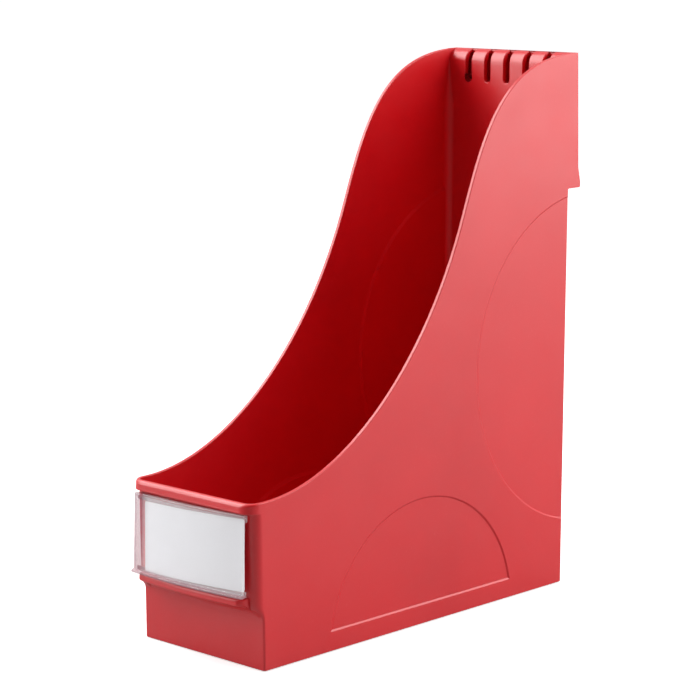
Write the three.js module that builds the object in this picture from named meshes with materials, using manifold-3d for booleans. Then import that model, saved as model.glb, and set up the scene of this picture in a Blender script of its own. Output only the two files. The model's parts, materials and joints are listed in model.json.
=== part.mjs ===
// Magazine file holder: a moulded tub for A4 magazines with S-curved side walls, a hooded
// finger pull at the top of the back wall, and a bowed clear label window on the low front.
//
// Millimetres, +Z up, front towards -Y. The origin is the bottom centre of the bounding box.
// Depths ("d") are measured backwards from the outer face of the lower front wall.
import * as THREE from "three";
import { mergeVertices } from "three/addons/utils/BufferGeometryUtils.js";
import Module from "manifold-3d";

const wasm = await Module();
wasm.setup();

// ---------- Driving dimensions ----------
const WIDTH = 97; // outside, across the two side walls
const HEIGHT = 320;
const FRONT_Y = -124.85; // outer face of the lower front wall
const WALL = 2.4;
const HALF = WIDTH / 2;
const INNER_HALF = HALF - WALL;

// Side profile
const FOOT_DEPTH = 250.2; // back wall at the floor
const HOOD_BOTTOM = 240;
const LEAN_DEPTH = 254.9; // back wall at the height of the hood's lower lip
const HOOD_LIP_DEPTH = 266.2;
const HOOD_LIP_TOP = 243.5; // above it the hood's back draws in to its flat face
const HOOD_FACE_FOOT = 252;
const HOOD_FACE_DEPTH = 264.4;
const HOOD_TOP_DEPTH = 263.4;
const RIM_HEIGHT = 93.3;

// Top edge of a side wall, (depth, height): it falls from the hood through a middle knot,
// where it is steepest, and runs out level at the rim
const TOP_KNOT = [161.7, 232];
const TOP_HANDLES_UPPER = [[197.2, HEIGHT], [180.7, 281.5]];
const TOP_HANDLES_LOWER = [[129.2, 148.5], [61.2, RIM_HEIGHT]];
const TOP_END_DEPTH = 1.2;

// Low front wall: a bay that steps forward above the plain lower wall
const FLARE_START = 28;
const FLARE_END = 37;
const BAY_FORWARD = 5.3;
const RIM_UNDERSIDE = 87.6;
const RIM_LOWER_FORWARD = 9.8;
const RIM_TOP_FORWARD = 8.8;
const RIM_INNER_FORWARD = 6.3;
const RIM_CORNER_RADIUS = 8.5;
const BAY_CORNER_RADIUS = 5.5;
const EDGE_RADIUS = 1.2; // outside vertical corners of the tub
const INNER_RADIUS = 5; // inside vertical corners of the tub

// Ledge under the window: bowed in plan, rounded at its ends, with a cove under it
const LEDGE_HALF = 43;
const LEDGE_BOTTOM = 36;
const LEDGE_TOP = 40.6;
const LEDGE_END_FORWARD = 11.2;
const LEDGE_MIDDLE_FORWARD = 14;
const LEDGE_END_ROUND = 4.5;
const LEDGE_COVE_HANDLES = [[0, 33.5], [-5, LEDGE_BOTTOM]];
const LEDGE_STEPS = 44;

// Hood slots
const SLOT_COUNT = 5;
const SLOT_PITCH = 15.2;
const SLOT_WIDTH = 4.6;
const SLOT_FOOT = 300.3;
const HOOD_BEND_RADIUS = 7;
const SLOT_BACK_DEPTH = 260.6;
const CHANNEL_BEND_DEPTH = 256.4; // front of the finger channel at the foot of the top bend

// Joggled panels on both side walls
const JOGGLE = 0.6;
const DISC = { depth: 273.2, height: 137, radius: 100 };
const DOME = { depth: 126.6, height: -2.8, radius: 76.5, foot: 11.5 };

// Label window and card, on one bow whose axis leans back by BOW_LEAN
const BOW_RADIUS = 330; // to the middle of the card
const BOW_LEAN = THREE.MathUtils.degToRad(2.8);
const BOW_HEIGHT = 64; // height of the card's centre
const BOW_FORWARD = 11.8; // the card's centre in front of the lower front wall
const CARD_WIDTH = 79;
const CARD_HEIGHT = 39.6;
const CARD_THICKNESS = 0.4;
const CARD_SHIFT = 4; // towards +X, so that the card is flush with the window's end
const CARD_SKEW = THREE.MathUtils.degToRad(1.3); // the card in the window
const WINDOW_SKEW = THREE.MathUtils.degToRad(0.5); // the window on the body
const WINDOW_WIDTH = 88;
const WINDOW_BOTTOM = -22.4; // heights on the window, from the card's centre
const WINDOW_TOP = 22.7;
const WINDOW_THICKNESS = 1.2;
const CARD_GAP = 0.35;
const CHANNEL_FOOT = -21.2; // top face of the lower channel, where the card stands
const CHANNEL_HEAD = 21.1;
const CHANNEL_WEB = 0.9;
const CHANNEL_FLANGE = 2.2;
const LIP_FORWARD = 1.8;
const LIP_HEIGHT = 1.9;

const CURVE_SEGMENTS = 20;
const MARGIN = 20; // how far cutting bodies run past what they cut
const FAR = 400; // beyond either end of the file

// ---------- Helpers ----------

// World Y of a depth behind the outer face of the lower front wall.
function y(depth) {
  return FRONT_Y + depth;
}

// A closed three.js geometry as a solid.
function solid(geometry) {
  const bare = geometry.clone();
  bare.deleteAttribute("normal");
  bare.deleteAttribute("uv");
  const merged = mergeVertices(bare, 1e-4);
  const mesh = new wasm.Mesh({
    numProp: 3,
    vertProperties: merged.attributes.position.array,
    triVerts: new Uint32Array(merged.index.array),
  });
  return new wasm.Manifold(mesh);
}

// A solid as a three.js geometry.
function geometryOf(made) {
  const mesh = made.getMesh();
  const geometry = new THREE.BufferGeometry();
  geometry.setAttribute("position", new THREE.BufferAttribute(mesh.vertProperties, 3));
  geometry.setIndex(new THREE.BufferAttribute(mesh.triVerts, 1));
  geometry.computeVertexNormals();
  return geometry;
}

// Extrudes a shape drawn in (Y, Z) from x0 to x1.
function alongX(shape, x0, x1) {
  const options = { depth: x1 - x0, bevelEnabled: false, curveSegments: CURVE_SEGMENTS };
  const geometry = new THREE.ExtrudeGeometry(shape, options);
  const turn = new THREE.Matrix4().makeBasis(
    new THREE.Vector3(0, 1, 0),
    new THREE.Vector3(0, 0, 1),
    new THREE.Vector3(1, 0, 0),
  );
  geometry.applyMatrix4(turn);
  geometry.translate(x0, 0, 0);
  return solid(geometry);
}

// Extrudes a shape drawn in (X, Z) from y0 back to y1.
function alongY(shape, y0, y1) {
  const options = { depth: y1 - y0, bevelEnabled: false, curveSegments: CURVE_SEGMENTS };
  const geometry = new THREE.ExtrudeGeometry(shape, options);
  geometry.rotateX(Math.PI / 2);
  geometry.translate(0, y1, 0);
  return solid(geometry);
}

// Extrudes a shape drawn in (X, Y) from z0 up to z1. A lean moves it back as it rises.
function alongZ(shape, z0, z1, lean = 0) {
  const options = { depth: z1 - z0, bevelEnabled: false, curveSegments: CURVE_SEGMENTS };
  const geometry = new THREE.ExtrudeGeometry(shape, options);
  geometry.translate(0, 0, z0);
  const shear = new THREE.Matrix4().makeShear(0, 0, 0, 0, 0, lean);
  geometry.applyMatrix4(shear);
  return solid(geometry);
}

// A rectangle with its own corner radius at the front (low Y) and at the back.
function plan(halfWidth, front, back, frontRadius, backRadius) {
  const shape = new THREE.Shape();
  shape.moveTo(-halfWidth + frontRadius, front);
  shape.lineTo(halfWidth - frontRadius, front);
  shape.absarc(halfWidth - frontRadius, front + frontRadius, frontRadius, -Math.PI / 2, 0);
  shape.lineTo(halfWidth, back - backRadius);
  shape.absarc(halfWidth - backRadius, back - backRadius, backRadius, 0, Math.PI / 2);
  shape.lineTo(-halfWidth + backRadius, back);
  shape.absarc(-halfWidth + backRadius, back - backRadius, backRadius, Math.PI / 2, Math.PI);
  shape.lineTo(-halfWidth, front + frontRadius);
  shape.absarc(-halfWidth + frontRadius, front + frontRadius, frontRadius, Math.PI, Math.PI * 1.5);
  return shape;
}

// ---------- File body ----------

// Continues a side profile by one Bezier curve. Each point is (depth, height).
function curveTo(shape, handle1, handle2, end) {
  shape.bezierCurveTo(y(handle1[0]), handle1[1], y(handle2[0]), handle2[1], y(end[0]), end[1]);
}

// Draws the S-shaped top edge of a side wall, from the back down to the rim.
function drawTopEdge(shape) {
  shape.lineTo(y(HOOD_TOP_DEPTH), HEIGHT);
  curveTo(shape, ...TOP_HANDLES_UPPER, TOP_KNOT);
  curveTo(shape, ...TOP_HANDLES_LOWER, [TOP_END_DEPTH, RIM_HEIGHT]);
}

// The outside seen from the side.
function outsideProfile() {
  const shape = new THREE.Shape();
  shape.moveTo(y(0), 0);
  shape.lineTo(y(FOOT_DEPTH), 0);
  shape.lineTo(y(LEAN_DEPTH), HOOD_BOTTOM);
  shape.lineTo(y(HOOD_LIP_DEPTH), HOOD_BOTTOM);
  shape.lineTo(y(HOOD_LIP_DEPTH), HOOD_LIP_TOP);
  shape.lineTo(y(HOOD_FACE_DEPTH), HOOD_FACE_FOOT);
  drawTopEdge(shape);
  shape.lineTo(y(-RIM_TOP_FORWARD), RIM_HEIGHT);
  shape.lineTo(y(-RIM_LOWER_FORWARD), RIM_UNDERSIDE);
  shape.lineTo(y(-BAY_FORWARD), RIM_UNDERSIDE);
  shape.lineTo(y(-BAY_FORWARD), FLARE_END);
  const middle = (FLARE_START + FLARE_END) / 2;
  shape.bezierCurveTo(y(-BAY_FORWARD), middle, y(0), middle, y(0), FLARE_START);
  return shape;
}

// The hollow seen from the side. It runs out past the top.
function hollowProfile() {
  const backLean = (LEAN_DEPTH - FOOT_DEPTH) / HOOD_BOTTOM;
  const bendFoot = HEIGHT - HOOD_BEND_RADIUS;
  const backAtFloor = FOOT_DEPTH - WALL + backLean * WALL;
  const backAtBend = FOOT_DEPTH - WALL + backLean * bendFoot;
  const above = HEIGHT + MARGIN;
  const shape = new THREE.Shape();
  shape.moveTo(y(WALL), WALL);
  shape.lineTo(y(backAtFloor), WALL);
  shape.lineTo(y(backAtBend), bendFoot);
  shape.absarc(y(backAtBend) + HOOD_BEND_RADIUS, bendFoot, HOOD_BEND_RADIUS, Math.PI, Math.PI / 2, true);
  shape.lineTo(y(backAtBend) + HOOD_BEND_RADIUS, above);
  shape.lineTo(y(-RIM_INNER_FORWARD), above);
  shape.lineTo(y(-RIM_INNER_FORWARD), RIM_UNDERSIDE);
  shape.lineTo(y(-BAY_FORWARD + WALL), RIM_UNDERSIDE - WALL);
  shape.lineTo(y(-BAY_FORWARD + WALL), FLARE_END - WALL / 2);
  const middle = (FLARE_START + FLARE_END - WALL) / 2;
  shape.bezierCurveTo(y(-BAY_FORWARD + WALL), middle, y(WALL), middle, y(WALL), FLARE_START - WALL / 2);
  return shape;
}

// The channel under the hood, open at the bottom for fingers.
function fingerChannel() {
  const roof = HEIGHT - WALL;
  const shape = new THREE.Shape();
  shape.moveTo(y(LEAN_DEPTH), HOOD_BOTTOM);
  shape.lineTo(y(LEAN_DEPTH), HOOD_BOTTOM - MARGIN);
  shape.lineTo(y(HOOD_LIP_DEPTH - WALL), HOOD_BOTTOM - MARGIN);
  shape.lineTo(y(HOOD_LIP_DEPTH - WALL), HOOD_LIP_TOP);
  shape.lineTo(y(HOOD_FACE_DEPTH - WALL), HOOD_FACE_FOOT);
  shape.lineTo(y(HOOD_TOP_DEPTH - WALL), roof);
  shape.lineTo(y(HOOD_TOP_DEPTH - WALL * 2), roof);
  shape.lineTo(y(CHANNEL_BEND_DEPTH), HEIGHT - HOOD_BEND_RADIUS);
  return alongX(shape, -INNER_HALF, INNER_HALF);
}

// One U-shaped slot through the back wall's top bend and the hood's roof.
function hoodSlot(x) {
  const radius = SLOT_WIDTH / 2;
  const shape = new THREE.Shape();
  shape.moveTo(x + radius, HEIGHT + MARGIN);
  shape.lineTo(x - radius, HEIGHT + MARGIN);
  shape.lineTo(x - radius, SLOT_FOOT + radius);
  shape.absarc(x, SLOT_FOOT + radius, radius, Math.PI, Math.PI * 2);
  return alongY(shape, y(FOOT_DEPTH - 2 * WALL), y(SLOT_BACK_DEPTH));
}

// A disc on a side wall, clipped in front of the depth where its wall ends.
function joggleDisc(x0, x1, endDepth) {
  const shape = new THREE.Shape();
  const halfAngle = Math.acos((endDepth - DISC.depth) / DISC.radius);
  shape.absarc(y(DISC.depth), DISC.height, DISC.radius, halfAngle, Math.PI * 2 - halfAngle);
  return alongX(shape, x0, x1);
}

// A low dome on a side wall: a circle cut off by a level foot.
function joggleDome(x0, x1) {
  const shape = new THREE.Shape();
  const footAngle = Math.asin((DOME.foot - DOME.height) / DOME.radius);
  shape.absarc(y(DOME.depth), DOME.height, DOME.radius, footAngle, Math.PI - footAngle);
  return alongX(shape, x0, x1);
}

// Both joggles of both side walls, from inner to outer, measured out from the middle.
function joggles(inner, outer, endDepth) {
  return joggleDisc(inner, outer, endDepth)
    .add(joggleDisc(-outer, -inner, endDepth))
    .add(joggleDome(inner, outer))
    .add(joggleDome(-outer, -inner));
}

// Rounds a vertical front corner: the piece to cut away at the corner (side is +1 or -1).
function cornerCut(side, front, radius, z0, z1) {
  const edge = side * HALF;
  const centre = side * (HALF - radius);
  const shape = new THREE.Shape();
  shape.moveTo(edge, front + radius);
  shape.lineTo(edge + side, front + radius);
  shape.lineTo(edge + side, front - 1);
  shape.lineTo(centre, front - 1);
  shape.lineTo(centre, front);
  if (side > 0) {
    shape.absarc(centre, front + radius, radius, -Math.PI / 2, 0);
  } else {
    shape.absarc(centre, front + radius, radius, -Math.PI / 2, -Math.PI, true);
  }
  return alongZ(shape, z0, z1);
}

// How far the ledge's nose stands forward of the lower wall at a distance x from the middle.
function ledgeNose(x) {
  const rise = LEDGE_MIDDLE_FORWARD - LEDGE_END_FORWARD;
  const radius = (LEDGE_HALF ** 2 + rise ** 2) / (2 * rise);
  const bow = LEDGE_MIDDLE_FORWARD - radius + Math.sqrt(radius ** 2 - x ** 2);
  const past = Math.max(0, Math.abs(x) - LEDGE_HALF + LEDGE_END_ROUND) / LEDGE_END_ROUND;
  return BAY_FORWARD + (bow - BAY_FORWARD) * Math.sqrt(Math.max(0, 1 - past ** 2));
}

// The ledge that the window stands on, with the cove that carries it.
function ledge() {
  const outline = new THREE.Shape();
  outline.moveTo(LEDGE_HALF, y(WALL / 2));
  outline.lineTo(-LEDGE_HALF, y(WALL / 2));
  for (let i = 0; i <= LEDGE_STEPS; i += 1) {
    const x = -LEDGE_HALF * Math.cos((i / LEDGE_STEPS) * Math.PI);
    outline.lineTo(x, y(-ledgeNose(x)));
  }
  const profile = new THREE.Shape();
  profile.moveTo(y(-BAY_FORWARD + WALL / 2), LEDGE_TOP);
  profile.lineTo(y(-BAY_FORWARD + WALL / 2), FLARE_END);
  profile.lineTo(y(WALL / 2), FLARE_START);
  profile.lineTo(y(0), FLARE_START);
  curveTo(profile, ...LEDGE_COVE_HANDLES, [-LEDGE_MIDDLE_FORWARD, LEDGE_BOTTOM]);
  profile.lineTo(y(-LEDGE_MIDDLE_FORWARD), LEDGE_TOP);
  const body = alongX(profile, -LEDGE_HALF, LEDGE_HALF);
  return body.intersect(alongZ(outline, FLARE_START - 1, LEDGE_TOP));
}

function fileBody() {
  const lean = (LEAN_DEPTH - FOOT_DEPTH) / HOOD_BOTTOM;
  const rimFront = y(-RIM_LOWER_FORWARD);

  const roundedFront = plan(HALF, rimFront, FAR, RIM_CORNER_RADIUS, 1);
  const roundedBack = plan(HALF, -FAR, y(FOOT_DEPTH), 1, EDGE_RADIUS);
  const hoodBack = plan(HALF, y(FOOT_DEPTH) - MARGIN, y(HOOD_LIP_DEPTH) + 1, 1, EDGE_RADIUS);
  const wallEnvelope = alongZ(roundedBack, -1, HEIGHT + 1, lean);
  const backEnvelope = wallEnvelope.add(alongZ(hoodBack, HOOD_BOTTOM, HEIGHT + 1));
  let body = alongX(outsideProfile(), -HALF, HALF);
  body = body.intersect(alongZ(roundedFront, -1, HEIGHT + 1));
  body = body.intersect(backEnvelope);
  for (const side of [-1, 1]) {
    body = body.subtract(cornerCut(side, y(0), EDGE_RADIUS, -1, FLARE_START));
    body = body.subtract(cornerCut(side, y(-BAY_FORWARD), BAY_CORNER_RADIUS, FLARE_END, RIM_UNDERSIDE));
  }

  const innerFront = plan(INNER_HALF, y(-RIM_INNER_FORWARD), FAR, INNER_RADIUS, 1);
  const innerBack = plan(INNER_HALF, -FAR, y(FOOT_DEPTH - WALL), 1, INNER_RADIUS);
  const hoodPlan = plan(INNER_HALF, y(FOOT_DEPTH) - MARGIN, FAR, 1, 1);
  const wallHollow = alongZ(innerBack, -1, HEIGHT + MARGIN, lean);
  const backHollow = wallHollow.add(alongZ(hoodPlan, HEIGHT - HOOD_BEND_RADIUS, HEIGHT + MARGIN));
  let hollow = alongX(hollowProfile(), -INNER_HALF, INNER_HALF);
  hollow = hollow.intersect(alongZ(innerFront, -1, HEIGHT + MARGIN * 2));
  hollow = hollow.intersect(backHollow);
  hollow = hollow.subtract(joggles(INNER_HALF - JOGGLE, INNER_HALF + 1, FOOT_DEPTH));

  body = body.subtract(hollow);
  body = body.subtract(fingerChannel());
  for (let i = 0; i < SLOT_COUNT; i += 1) {
    body = body.subtract(hoodSlot((i - (SLOT_COUNT - 1) / 2) * SLOT_PITCH));
  }
  body = body.subtract(joggles(HALF - JOGGLE, HALF + 1, HOOD_LIP_DEPTH + 1));
  return body.add(ledge());
}

// ---------- Label window and card ----------
// Both are drawn upright round the bow's axis: the axis is local Z, the front is at
// local Y = -radius, and local Z = 0 is the height of the card's centre.

// A sheet on the bow between two radii, two arc lengths (at BOW_RADIUS) and two heights.
function bowedSheet(innerRadius, outerRadius, from, to, z0, z1) {
  const a0 = -Math.PI / 2 + from / BOW_RADIUS;
  const a1 = -Math.PI / 2 + to / BOW_RADIUS;
  const shape = new THREE.Shape();
  shape.absarc(0, 0, outerRadius, a0, a1);
  shape.absarc(0, 0, innerRadius, a1, a0, true);
  return alongZ(shape, z0, z1);
}

function labelWindow() {
  const half = WINDOW_WIDTH / 2;
  const front = BOW_RADIUS + CARD_THICKNESS / 2 + CARD_GAP;
  const back = BOW_RADIUS - CARD_THICKNESS / 2 - CARD_GAP;
  const skin = front + WINDOW_THICKNESS;
  const flange = back - CHANNEL_WEB;
  const pane = bowedSheet(front, skin, -half, half, WINDOW_BOTTOM, WINDOW_TOP);
  const lipTop = WINDOW_BOTTOM + LIP_HEIGHT;
  const lip = bowedSheet(front, skin + LIP_FORWARD, -half, half, WINDOW_BOTTOM, lipTop);
  const webFoot = CHANNEL_FOOT - CHANNEL_WEB;
  const foot = bowedSheet(flange, skin, -half, half, webFoot, CHANNEL_FOOT);
  const footFlange = bowedSheet(flange, back, -half, half, webFoot, CHANNEL_FOOT + CHANNEL_FLANGE);
  const head = bowedSheet(flange, skin, -half, half, CHANNEL_HEAD, WINDOW_TOP);
  const headFlange = bowedSheet(flange, back, -half, half, CHANNEL_HEAD - CHANNEL_FLANGE, WINDOW_TOP);
  return pane.add(lip).add(foot).add(footFlange).add(head).add(headFlange);
}

function labelCard() {
  const outline = new THREE.Shape();
  outline.moveTo(-CARD_WIDTH / 2, -CARD_HEIGHT / 2);
  outline.lineTo(CARD_WIDTH / 2, -CARD_HEIGHT / 2);
  outline.lineTo(CARD_WIDTH / 2, CARD_HEIGHT / 2);
  outline.lineTo(-CARD_WIDTH / 2, CARD_HEIGHT / 2);
  const stamp = alongY(outline, -BOW_RADIUS - MARGIN, -BOW_RADIUS + MARGIN);
  const skewed = stamp.rotate([0, THREE.MathUtils.radToDeg(-CARD_SKEW), 0]).translate([CARD_SHIFT, 0, 0]);
  const inner = BOW_RADIUS - CARD_THICKNESS / 2;
  const outer = BOW_RADIUS + CARD_THICKNESS / 2;
  const sheet = bowedSheet(inner, outer, -CARD_WIDTH, CARD_WIDTH, -CARD_HEIGHT, CARD_HEIGHT);
  return sheet.intersect(skewed);
}

// ---------- Assembly ----------

function part(name, made, material) {
  const mesh = new THREE.Mesh(geometryOf(made), new THREE.MeshStandardMaterial(material));
  mesh.name = name;
  return mesh;
}

const redPlastic = { color: 0xc8343c, roughness: 0.42, metalness: 0 };
const clearPlastic = { color: 0xf4eef0, roughness: 0.08, metalness: 0, transparent: true, opacity: 0.3 };
const whitePaper = { color: 0xeceaee, roughness: 0.9, metalness: 0 };

const fileHolder = new THREE.Group();
fileHolder.add(part("file_body", fileBody(), redPlastic));

const labelHolder = new THREE.Group();
labelHolder.position.set(
  0,
  y(-BOW_FORWARD) + BOW_RADIUS * Math.cos(BOW_LEAN),
  BOW_HEIGHT - BOW_RADIUS * Math.sin(BOW_LEAN),
);
labelHolder.rotation.set(-BOW_LEAN, -WINDOW_SKEW, 0);
labelHolder.add(part("label_window", labelWindow(), clearPlastic));
labelHolder.add(part("label_card", labelCard(), whitePaper));
fileHolder.add(labelHolder);

export default fileHolder;
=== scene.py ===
"""Magazine file holder: the looks of a red moulded tub, its clear label window and its paper card.

Lengths in the geometry code are millimetres and are scaled to metres when a mesh is made.
A depth ("d") is measured backwards from the outer face of the lower front wall.
"""

import json
import math

import bmesh
import bpy
from mathutils import Matrix, Vector


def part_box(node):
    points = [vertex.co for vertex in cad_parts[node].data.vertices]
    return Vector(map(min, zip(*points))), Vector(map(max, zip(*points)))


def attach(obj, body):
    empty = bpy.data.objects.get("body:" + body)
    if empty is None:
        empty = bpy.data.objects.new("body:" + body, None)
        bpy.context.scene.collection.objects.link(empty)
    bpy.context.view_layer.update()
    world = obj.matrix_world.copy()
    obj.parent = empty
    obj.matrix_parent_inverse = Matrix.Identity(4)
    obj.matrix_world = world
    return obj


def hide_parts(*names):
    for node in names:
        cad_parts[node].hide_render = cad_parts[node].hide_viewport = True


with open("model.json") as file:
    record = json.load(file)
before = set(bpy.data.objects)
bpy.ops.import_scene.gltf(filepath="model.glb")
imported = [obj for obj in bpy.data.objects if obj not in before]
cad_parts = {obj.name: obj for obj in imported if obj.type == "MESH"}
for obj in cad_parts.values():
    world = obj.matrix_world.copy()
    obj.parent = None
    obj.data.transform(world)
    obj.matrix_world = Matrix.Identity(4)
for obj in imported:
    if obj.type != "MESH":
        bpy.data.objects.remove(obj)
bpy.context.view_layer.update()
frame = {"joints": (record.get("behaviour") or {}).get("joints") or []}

MM = 0.001

# ---------------------------------------------------------------- driving sizes (mm)
WALL = 2.4
LEDGE_MIDDLE_FORWARD = 14.0
LEDGE_END_FORWARD = 11.2
LEDGE_HALF = 43.0
LEDGE_END_ROUND = 4.5

body_lo, body_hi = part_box("file_body")
HALF = (body_hi.x - body_lo.x) / 2 / MM
INNER_HALF = HALF - WALL
HEIGHT = body_hi.z / MM
FRONT_Y = body_lo.y / MM + LEDGE_MIDDLE_FORWARD

# Back wall and hood
FOOT_DEPTH = 250.2
LEAN_DEPTH = 254.9
HOOD_BOTTOM = 240.0
HOOD_LIP_DEPTH = 266.2
HOOD_LIP_TOP = 243.5
HOOD_FACE_DEPTH = 264.4
HOOD_FACE_FOOT = 252.0
HOOD_TOP_DEPTH = 263.4
LEAN = (LEAN_DEPTH - FOOT_DEPTH) / HOOD_BOTTOM
BEND_RADIUS = 8.0
BEND_FOOT = HEIGHT - BEND_RADIUS
BEND_DEPTH = FOOT_DEPTH - WALL + LEAN * BEND_FOOT
CHANNEL_BEND_DEPTH = 256.4
SLOT_COUNT = 5
SLOT_PITCH = 15.2
SLOT_WIDTH = 4.6
SLOT_FOOT = 300.3
SLOT_BACK_DEPTH = 260.6
SLOT_ROUND = 0.65
SKIN_TOLERANCE = 0.06
OVERSHOOT = 6.0  # how far cutting bodies run past what they cut

# Front wall
RIM_HEIGHT = 93.3
RIM_UNDERSIDE = 87.6
RIM_LOWER_FORWARD = 9.8
RIM_TOP_FORWARD = 9.4
RIM_INNER_FORWARD = 6.3
BAY_FORWARD = 5.3
FLARE_START = 28.0
FLARE_END = 37.0
LEDGE_TOP = 40.6

# Corners and rounds
FOOT_CORNER = 1.2
BAY_CORNER = 5.5
RIM_CORNER = 8.5
BACK_CORNER = 1.2
INNER_CORNER = 5.0
INNER_CORNER_TOP = 0.8
CORNER_TIGHTENS = 285.0  # height where the inside corner at the back starts to tighten
CORNER_TIGHT = 310.5
FOOT_ROUND = 0.6
FLOOR_ROUND = 3.0
LIP_ROUND = 0.45
RIM_ROUND = 2.6
RIM_INNER_ROUND = 0.45

# Joggled panels of the side walls
JOGGLE = 0.6
DISC = {"depth": 273.2, "height": 137.0, "radius": 100.0}
DOME = {"depth": 126.6, "height": -2.8, "radius": 76.5, "foot": 11.5}

# Side wall's top edge, (depth, height) of two Bezier pieces from the back to the rim
TOP_END_DEPTH = 1.2
TOP_KNOT = (161.7, 232.0)
TOP_EDGE = (
    ((HOOD_TOP_DEPTH, HEIGHT), (197.2, HEIGHT), (180.7, 281.5), TOP_KNOT),
    (TOP_KNOT, (129.2, 148.5), (61.2, RIM_HEIGHT), (TOP_END_DEPTH, RIM_HEIGHT)),
)

# Label window and card on their bow; heights from the card's centre
BOW_RADIUS = 330.0
CARD_WIDTH = 79.0
CARD_HEIGHT = 39.6
CARD_THICKNESS = 0.4
CARD_SHIFT = 4.0
CARD_SKEW = math.radians(1.3)
CARD_CORNER = 0.7
CARD_EDGE_ROUND = 0.08
WINDOW_HALF = 44.0
WINDOW_BOTTOM = -22.4
WINDOW_TOP = 22.7
WINDOW_THICKNESS = 1.2
WINDOW_END_ROUND = 0.18
CARD_GAP = 0.35
CHANNEL_FOOT = -21.2
CHANNEL_HEAD = 21.1
CHANNEL_WEB = 0.9
CHANNEL_FLANGE = 2.2
LIP_FORWARD = 1.8
LIP_HEIGHT = 1.9

# Where the window's colour carries a painted reflection of the tub's red, seen through it, from none to
# full (metres, x or z)
PAINTED_REFLECTION_END = (-0.0352, -0.0368)
PAINTED_REFLECTION_FOOT = (0.0446, 0.0434)
PAINTED_REFLECTION_HEAD = (0.0846, 0.0854)

# How the tub's skin is divided
SHARE_FOOT = 41.0  # foot of the rows that stretch with the top edge
SIDE_FRONT = -0.3
SIDE_BACK = 253.2
SIDE_BLEND = 32.0  # depth over which the side columns bend to meet the corners
SIDE_STEPS = 84
SIDE_CROWDING = 0.035
FLOOR_STEPS = 8
LIP_STEPS = 8
WALL_ROW_PITCH = 1.0
LEDGE_BLEND_REACH = 2.0
LEDGE_ROUND_REACH = 5.0

# Colours (linear)
RED = (0.60, 0.0030, 0.0085, 1)
RED_CLOUD = (0.66, 0.0040, 0.0100, 1)
RED_FLOW = (0.70, 0.0065, 0.0125, 1)
RED_SPECK = (0.8, 0.10, 0.11, 1)
RED_WORN = (0.9, 0.22, 0.24, 1)
CLEAR = (0.96, 0.94, 0.96, 1)
CLEAR_HAZE = (0.985, 0.97, 0.985, 1)
# Painted reflection: the tub's red, as seen through the clear window, painted into the window's colour
PAINTED_TUB_RED_REFLECTION = (0.37, 0.12, 0.165, 1)
PAPER = (0.95, 0.955, 0.985, 1)
PAPER_BLOTCH = (0.97, 0.975, 1.0, 1)
PAPER_FIBRE = (0.74, 0.735, 0.76, 1)
PAPER_EDGE = (0.66, 0.65, 0.66, 1)
FLOOR_PALE = (0.86, 0.86, 0.865, 1)
FLOOR_PALER = (0.89, 0.89, 0.89, 1)
FLOOR_ROOM = (0.42, 0.42, 0.42, 1)
FLOOR_DARK = (0.08, 0.08, 0.08, 1)

# Studio (metres)
FLOOR_DROP = 0.0004  # keeps the floor's face just clear of the feet
FLOOR_RADIUS = 30
FLOOR_GLOW = 0.5
LAMPS = (
    # name, place, target, width, height, radiance
    ("right_softbox", (0.95, 0.85, 0.82), (0, 0, 0.35), 1.3, 1.6, 3.5),
    ("left_softbox", (-0.98, -1.02, 0.85), (0, 0, 0.25), 0.65, 1.3, 5.6),
    ("upper_softbox", (-1.0, -0.25, 1.25), (0, 0, 0.3), 0.9, 0.9, 5.0),
)
WORLD_SEEN = 1.02
WORLD_BRIGHT_SIDE = Vector((-0.68, 0.68, 0.28)).normalized()
WORLD_RAMP = {"From Min": -0.7, "From Max": 0.28, "To Min": 0.10, "To Max": 0.95}
CAMERA_PLACE = (0.9826, -1.01355, 0.4038)
CAMERA_AZIMUTH = math.radians(44.324)
CAMERA_ELEVATION = math.radians(10.035)
CAMERA_ROLL = math.radians(-0.418)
CAMERA_LENS = 127.78


# ---------------------------------------------------------------- small maths
def lerp(a, b, t):
    return a + (b - a) * t


def bezier(points, t):
    """A point of a cubic Bezier curve in the plane."""
    weights = ((1 - t) ** 3, 3 * t * (1 - t) ** 2, 3 * t * t * (1 - t), t**3)
    return tuple(sum(w * p[i] for w, p in zip(weights, points)) for i in (0, 1))


def sample_top_edge():
    """Closely spaced (depth, height) points of the top edge, by rising depth."""
    steps = 400
    points = [bezier(TOP_EDGE[0], i / steps) for i in range(steps + 1)]
    points += [bezier(TOP_EDGE[1], i / steps) for i in range(1, steps + 1)]
    return points[::-1]


TOP_POINTS = sample_top_edge()


def top_height(depth):
    """Height of the side wall's top edge at a depth."""
    if depth <= TOP_END_DEPTH:
        return RIM_HEIGHT
    if depth >= HOOD_TOP_DEPTH:
        return HEIGHT
    low, high = 0, len(TOP_POINTS) - 1
    while high - low > 1:
        middle = (low + high) // 2
        if TOP_POINTS[middle][0] <= depth:
            low = middle
        else:
            high = middle
    (d0, z0), (d1, z1) = TOP_POINTS[low], TOP_POINTS[high]
    return lerp(z0, z1, (depth - d0) / max(d1 - d0, 1e-9))


def top_normal(depth):
    """Unit normal of the top edge in the (depth, height) plane, pointing out of the wall."""
    step = 0.4
    slope = (top_height(depth + step) - top_height(depth - step)) / (2 * step)
    length = math.hypot(slope, 1)
    return -slope / length, 1 / length


def flare(t, top, bottom, z_top, z_bottom):
    """(height, forward) on the soft step between the lower wall and the bay, t from 0 below."""
    middle = (z_top + z_bottom) / 2
    points = ((z_bottom, bottom), (middle, bottom), (middle, top), (z_top, top))
    return bezier(points, t)


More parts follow.
